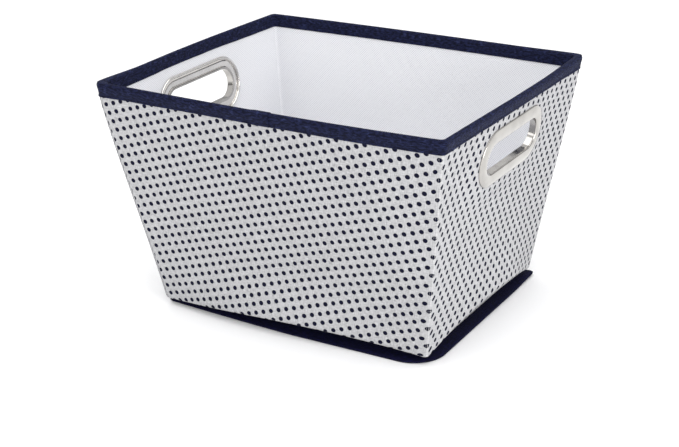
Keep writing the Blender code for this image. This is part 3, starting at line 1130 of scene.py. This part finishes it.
def printed_cloth():
    """Light grey heather weave with a printed lattice of dark navy dots."""
    r = Recipe("printed_cloth", (0.62, 0.62, 0.62), 0.88)
    r.shader.inputs["Specular IOR Level"].default_value = 0.12
    u, v = r.uv("cloth")
    i, j = r.uv("print")
    spread = r.noise(r.vector(u, v), 2600, 2.0)
    size = r.noise(r.vector(u, v), 95, 0.0)
    ragged = r.from_cell_middle(r.math("ADD", i, 0.5), r.math("ADD", j, 0.5))
    for unevenness, share in ((spread, 0.050), (size, 0.030)):
        swing = r.math("MULTIPLY", r.math("SUBTRACT", unevenness, 0.5), share)
        ragged = r.math("ADD", ragged, swing)
    dot = r.ramp(ragged, 0.248, 0.276, 1.0, 0.0)

    weave = plain_weave(r, u, v, 0.5 * MM)
    warp = r.streaks(u, v, 2400, 190, 2.0, 0.6)
    weft = r.streaks(u, v, 190, 2400, 2.0, 0.6)
    heather = r.ramp(r.math("ADD", warp, weft), 0.72, 1.28, smoothly=False)
    cloudy = r.noise(r.vector(u, v), 22, 3.0)
    ground = r.blend(heather, (0.25, 0.25, 0.257), (0.60, 0.60, 0.61))
    ground = r.blend(r.ramp(cloudy, 0.35, 0.65, 0.0, 0.16), ground, (0.48, 0.48, 0.50))
    ink = r.blend(heather, (0.002, 0.002, 0.011), (0.005, 0.006, 0.024))
    # Painted highlight: the cloth is paled in a thin line along each corner's crease, where the
    # folded edge catches the light, broken up by noise.
    crease, _ = r.uv("crease")
    crease_highlight_breakup = r.noise(r.vector(u, v), 520, 3.0)
    wear_and_crease_highlight = r.ramp(r.math("ABSOLUTE", crease), 0.1, 0.7, 1.0, 0.0)
    wear_and_crease_highlight = r.math("MULTIPLY", wear_and_crease_highlight, r.ramp(crease_highlight_breakup, 0.42, 0.6, 0.08, 0.6))
    printed = r.blend(dot, ground, ink)
    r.colour(r.blend(wear_and_crease_highlight, printed, (0.62, 0.62, 0.61)))
    r.roughness(r.ramp(heather, 0.0, 1.0, 0.82, 0.94))
    fuzz = r.noise(r.vector(u, v), 5200, 2.0)
    r.normal(r.bump(fuzz, 0.04 * MM, 0.5, r.bump(weave, 0.07 * MM, 0.6)))
    return r.material


def lining_material():
    """White non-woven, thermally bonded at a lattice of small dimples."""
    r = Recipe("lining_cloth", (0.83, 0.83, 0.84), 0.78)
    r.shader.inputs["Sheen Weight"].default_value = 0.08
    u, v = r.uv("cloth")
    pitch = 2.1 * MM
    x = r.math("DIVIDE", r.math("ADD", u, v), pitch)
    y = r.math("DIVIDE", r.math("SUBTRACT", u, v), pitch)
    raised = r.ramp(r.from_cell_middle(x, y), 0.18, 0.36)
    fibres = r.streaks(u, v, 900, 320, 4.0, 0.65)
    cloudy = r.noise(r.vector(u, v), 14, 2.0)
    cloth = r.blend(raised, (0.47, 0.48, 0.52), (0.79, 0.79, 0.81))
    cloth = r.blend(r.ramp(fibres, 0.35, 0.7, 0.0, 0.35), cloth, (0.78, 0.79, 0.81))
    r.colour(r.blend(r.ramp(cloudy, 0.4, 0.65, 0.0, 0.12), cloth, (0.72, 0.73, 0.76)))
    r.roughness(r.ramp(raised, 0.0, 1.0, 0.55, 0.82))
    base = r.bump(r.streaks(u, v, 9, 120), 0.5 * MM, 0.35)
    r.normal(r.bump(fibres, 0.05 * MM, 0.4, r.bump(raised, 0.12 * MM, 0.7, base)))
    return r.material


def tape_material(name, colour, light):
    """Navy twill tape: fine diagonal ribs, a little sheen, and paler rubbed threads."""
    r = Recipe(name, colour, 0.74)
    r.shader.inputs["Specular IOR Level"].default_value = 0.09
    r.shader.inputs["Sheen Weight"].default_value = 0.03
    r.shader.inputs["Sheen Roughness"].default_value = 0.45
    r.shader.inputs["Sheen Tint"].default_value = (0.45, 0.55, 0.85, 1)
    u, v = r.uv("cloth")
    diagonal = r.math("ADD", u, r.math("MULTIPLY", v, 0.8))
    rib = r.math("SINE", r.math("MULTIPLY", diagonal, 2 * math.pi / (0.62 * MM)))
    cross = r.math("SINE", r.math("MULTIPLY", r.math("SUBTRACT", u, v), 2 * math.pi / (0.38 * MM)))
    height = r.ramp(r.math("ADD", rib, r.math("MULTIPLY", cross, 0.35)), -1.35, 1.35, smoothly=False)
    rubbed = r.noise(r.vector(u, v), 180, 4.0, 0.65)
    speck = r.noise(r.vector(u, v), 3000, 1.0)
    threads = r.blend(r.math("MULTIPLY", height, speck), colour, light)
    # In the tape this is only rubbed wear: paler threads at random.
    wear_and_crease_highlight = r.blend(r.ramp(rubbed, 0.50, 0.70, 0.0, 0.75), threads, light)
    dark = r.ramp(r.streaks(u, v, 260, 700, 3.0, 0.6), 0.43, 0.58, 0.0, 0.85)
    r.colour(r.blend(dark, wear_and_crease_highlight, tuple(0.4 * part for part in colour)))
    r.roughness(r.ramp(height, 0.0, 1.0, 0.84, 0.66))
    r.normal(r.bump(height, 0.09 * MM, 0.7))
    return r.material


def thread_material(name, colour, light):
    """Spun thread, with its twist."""
    r = Recipe(name, colour, 0.6)
    r.shader.inputs["Specular IOR Level"].default_value = 0.15
    twist = r.noise(r.place(), 4200, 2.0)
    r.colour(r.blend(twist, colour, light))
    r.roughness(r.ramp(twist, 0.3, 0.7, 0.5, 0.72))
    r.normal(r.bump(twist, 0.08 * MM, 0.6))
    return r.material


def base_cloth_material():
    """Navy plain weave."""
    r = Recipe("base_cloth", (0.014, 0.018, 0.06), 0.85)
    u, v = r.uv("cloth")
    weave = plain_weave(r, u, v, 0.9 * MM)
    cloudy = r.noise(r.vector(u, v), 60, 4.0)
    r.colour(r.blend(r.ramp(cloudy, 0.35, 0.7), (0.011, 0.014, 0.05), (0.022, 0.028, 0.085)))
    r.roughness(r.ramp(cloudy, 0.3, 0.7, 0.78, 0.92))
    r.normal(r.bump(weave, 0.12 * MM, 0.7))
    return r.material


def chipboard_material():
    """Brown board with pale and dark flecks."""
    r = Recipe("chipboard", (0.40, 0.32, 0.22), 0.9)
    place = r.place()
    flecks = r.noise(place, 900, 4.0, 0.7)
    cloudy = r.noise(place, 45, 2.0)
    board = r.blend(r.ramp(flecks, 0.4, 0.62), (0.30, 0.24, 0.17), (0.47, 0.40, 0.30))
    r.colour(r.blend(r.ramp(cloudy, 0.4, 0.6, 0.0, 0.4), board, (0.36, 0.32, 0.27)))
    r.roughness(r.ramp(flecks, 0.3, 0.7, 0.82, 0.96))
    r.normal(r.bump(flecks, 0.1 * MM, 0.5))
    return r.material


def nickel_material(name, colour, dull):
    """Bright nickel plate on pressed steel, with faint polishing marks and handling haze."""
    r = Recipe(name, colour, 0.12, 1.0)
    place = r.place()
    haze = r.noise(place, 70, 3.0)
    fine = r.noise(place, 1500, 3.0, 0.6)
    r.colour(r.blend(r.ramp(haze, 0.35, 0.7), colour, dull))
    r.roughness(r.math("ADD", r.ramp(haze, 0.35, 0.75, 0.07, 0.17), r.math("MULTIPLY", fine, 0.05)))
    r.normal(r.bump(fine, 0.01 * MM, 0.25))
    return r.material


printed = printed_cloth()
white_lining = lining_material()
navy_tape = tape_material("navy_tape", (0.0045, 0.0055, 0.022), (0.027, 0.035, 0.100))
dark_tape = tape_material("navy_base_tape", (0.0014, 0.0011, 0.016), (0.005, 0.0045, 0.040))
navy_thread = thread_material("navy_thread", (0.002, 0.002, 0.010), (0.008, 0.010, 0.034))
base_navy = base_cloth_material()
chipboard = chipboard_material()
# Painted light: one nickel in two copies. The face plates' colour is darkened and the washers'
# colour is brightened, so that their reflections read darker and brighter.
nickel = nickel_material("nickel", (0.49, 0.475, 0.45), (0.425, 0.41, 0.39))
washer_nickel_brightened = nickel_material("nickel_washer_brightened", (0.76, 0.74, 0.71), (0.68, 0.66, 0.63))


def finish_piece(piece, material, node, body="bin"):
    """Gives a piece its material and its body, and hides the CAD node it stands for."""
    piece.data.materials.clear()
    piece.data.materials.append(material)
    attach(piece, body)
    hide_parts(node)


finish_piece(outer_cloth, printed, "outer_wrap")
finish_piece(lining_cloth, white_lining, "lining_wrap")
finish_piece(base_cloth, base_navy, "base_fabric")
finish_piece(rim_tape_piece, navy_tape, "rim_binding")
finish_piece(base_tape_piece, dark_tape, "base_binding")
finish_piece(rim_stitches_outside, navy_thread, "rim_thread_outside")
finish_piece(rim_stitches_inside, navy_thread, "rim_thread_inside")
finish_piece(base_stitches, navy_thread, "base_thread")
for board, word in zip(boards, SIDE_WORDS):
    finish_piece(board, chipboard, "wall_board_" + word)
for piece, node in handles:
    finish_piece(piece, nickel if "face" in node else washer_nickel_brightened, node)
finish_piece(insert_cloth, white_lining, "insert_cover", "base_insert")

insert_board = bpy.data.objects["insert_board"]
insert_board.data.materials.clear()
insert_board.data.materials.append(chipboard)


# Stage: a pale floor, soft light from the upper right, and the photograph's viewpoint.

BIN_MIDDLE = Vector((0, 0, HEIGHT / 2))
FLOOR_HALF = 9.0
# Greys of the studio round the bin, from the horizon (0) to straight up (1).
SKY = ((0.0, 0.9), (0.24, 0.15), (0.36, 1.0), (1.0, 1.0))
# The photograph's viewpoint: a long lens, from the front right and above.
CAMERA_AZIMUTH = math.radians(28.17)
CAMERA_ELEVATION = math.radians(23.074)
CAMERA_ROLL = math.radians(-0.163)
CAMERA_DISTANCE = 1.223947
CAMERA_ASIDE = 0.047917
CAMERA_DOWN = 0.053395
CAMERA_LENS = 76.934
CAMERA_SHIFT = (-0.09732, 0.03325)


def add_floor():
    bm = bmesh.new()
    bm.faces.new([
        bm.verts.new((x * FLOOR_HALF, y * FLOOR_HALF, 0))
        for x, y in ((-1, -1), (1, -1), (1, 1), (-1, 1))
    ])
    floor = finish_mesh("studio_floor", bm)
    r = Recipe("pale_floor", (0.96, 0.96, 0.96), 0.85)
    grain = r.noise(r.place(), 35, 3.0)
    r.colour(r.blend(grain, (0.955, 0.955, 0.955), (0.965, 0.965, 0.965)))
    floor.data.materials.append(r.material)


def add_world():
    """A pale studio round the bin, with a dark band low down that gives the nickel contrast."""
    world = bpy.data.worlds.new("soft_studio")
    world.use_nodes = True
    bpy.context.scene.world = world
    tree = world.node_tree
    background = tree.nodes["Background"]
    place = tree.nodes.new("ShaderNodeTexCoord")
    split = tree.nodes.new("ShaderNodeSeparateXYZ")
    tree.links.new(place.outputs["Generated"], split.inputs[0])
    ramp = tree.nodes.new("ShaderNodeValToRGB")
    elements = ramp.color_ramp.elements
    while len(elements) < len(SKY):
        elements.new(0.5)
    for (position, grey), element in zip(SKY, elements):
        element.position = position
        element.color = (grey, grey, grey * 1.01, 1)
    tree.links.new(split.outputs[2], ramp.inputs[0])
    tree.links.new(ramp.outputs[0], background.inputs["Color"])
    background.inputs["Strength"].default_value = 0.9


def add_softbox(name, place, size, energy):
    """An area light aimed at the bin's middle."""
    data = bpy.data.lights.new(name, "AREA")
    data.shape = "RECTANGLE"
    data.size, data.size_y = size
    data.energy = energy
    light = bpy.data.objects.new(name, data)
    light.location = place
    light.rotation_mode = "QUATERNION"
    light.rotation_quaternion = (BIN_MIDDLE - Vector(place)).to_track_quat("-Z", "Y")
    bpy.context.scene.collection.objects.link(light)


def add_camera():
    flat = math.cos(CAMERA_ELEVATION)
    back = Vector((math.sin(CAMERA_AZIMUTH) * flat, -math.cos(CAMERA_AZIMUTH) * flat,
                   math.sin(CAMERA_ELEVATION)))
    level = Vector((math.cos(CAMERA_AZIMUTH), math.sin(CAMERA_AZIMUTH), 0))
    upright = back.cross(level)
    right = level * math.cos(CAMERA_ROLL) + upright * math.sin(CAMERA_ROLL)
    up = upright * math.cos(CAMERA_ROLL) - level * math.sin(CAMERA_ROLL)
    data = bpy.data.cameras.new("camera")
    data.sensor_width = 36
    data.lens = CAMERA_LENS
    data.shift_x, data.shift_y = CAMERA_SHIFT
    data.clip_start = 0.05
    data.clip_end = 20
    camera = bpy.data.objects.new("camera", data)
    matrix = Matrix((right, up, back)).transposed().to_4x4()
    matrix.translation = (
        BIN_MIDDLE + right * CAMERA_ASIDE - up * CAMERA_DOWN + back * CAMERA_DISTANCE
    )
    camera.matrix_world = matrix
    bpy.context.scene.collection.objects.link(camera)
    bpy.context.scene.camera = camera


add_floor()
add_world()
add_softbox("key", (1.95, -0.7, 0.42), (1.2, 0.8), 22)
add_softbox("front", (-0.6, -2.0, 0.9), (1.4, 1.0), 7)
add_softbox("top", (0.0, -0.2, 1.8), (2.2, 2.2), 26)
add_camera()
bpy.context.scene.view_settings.view_transform = "Standard"

bpy.context.view_layer.update()
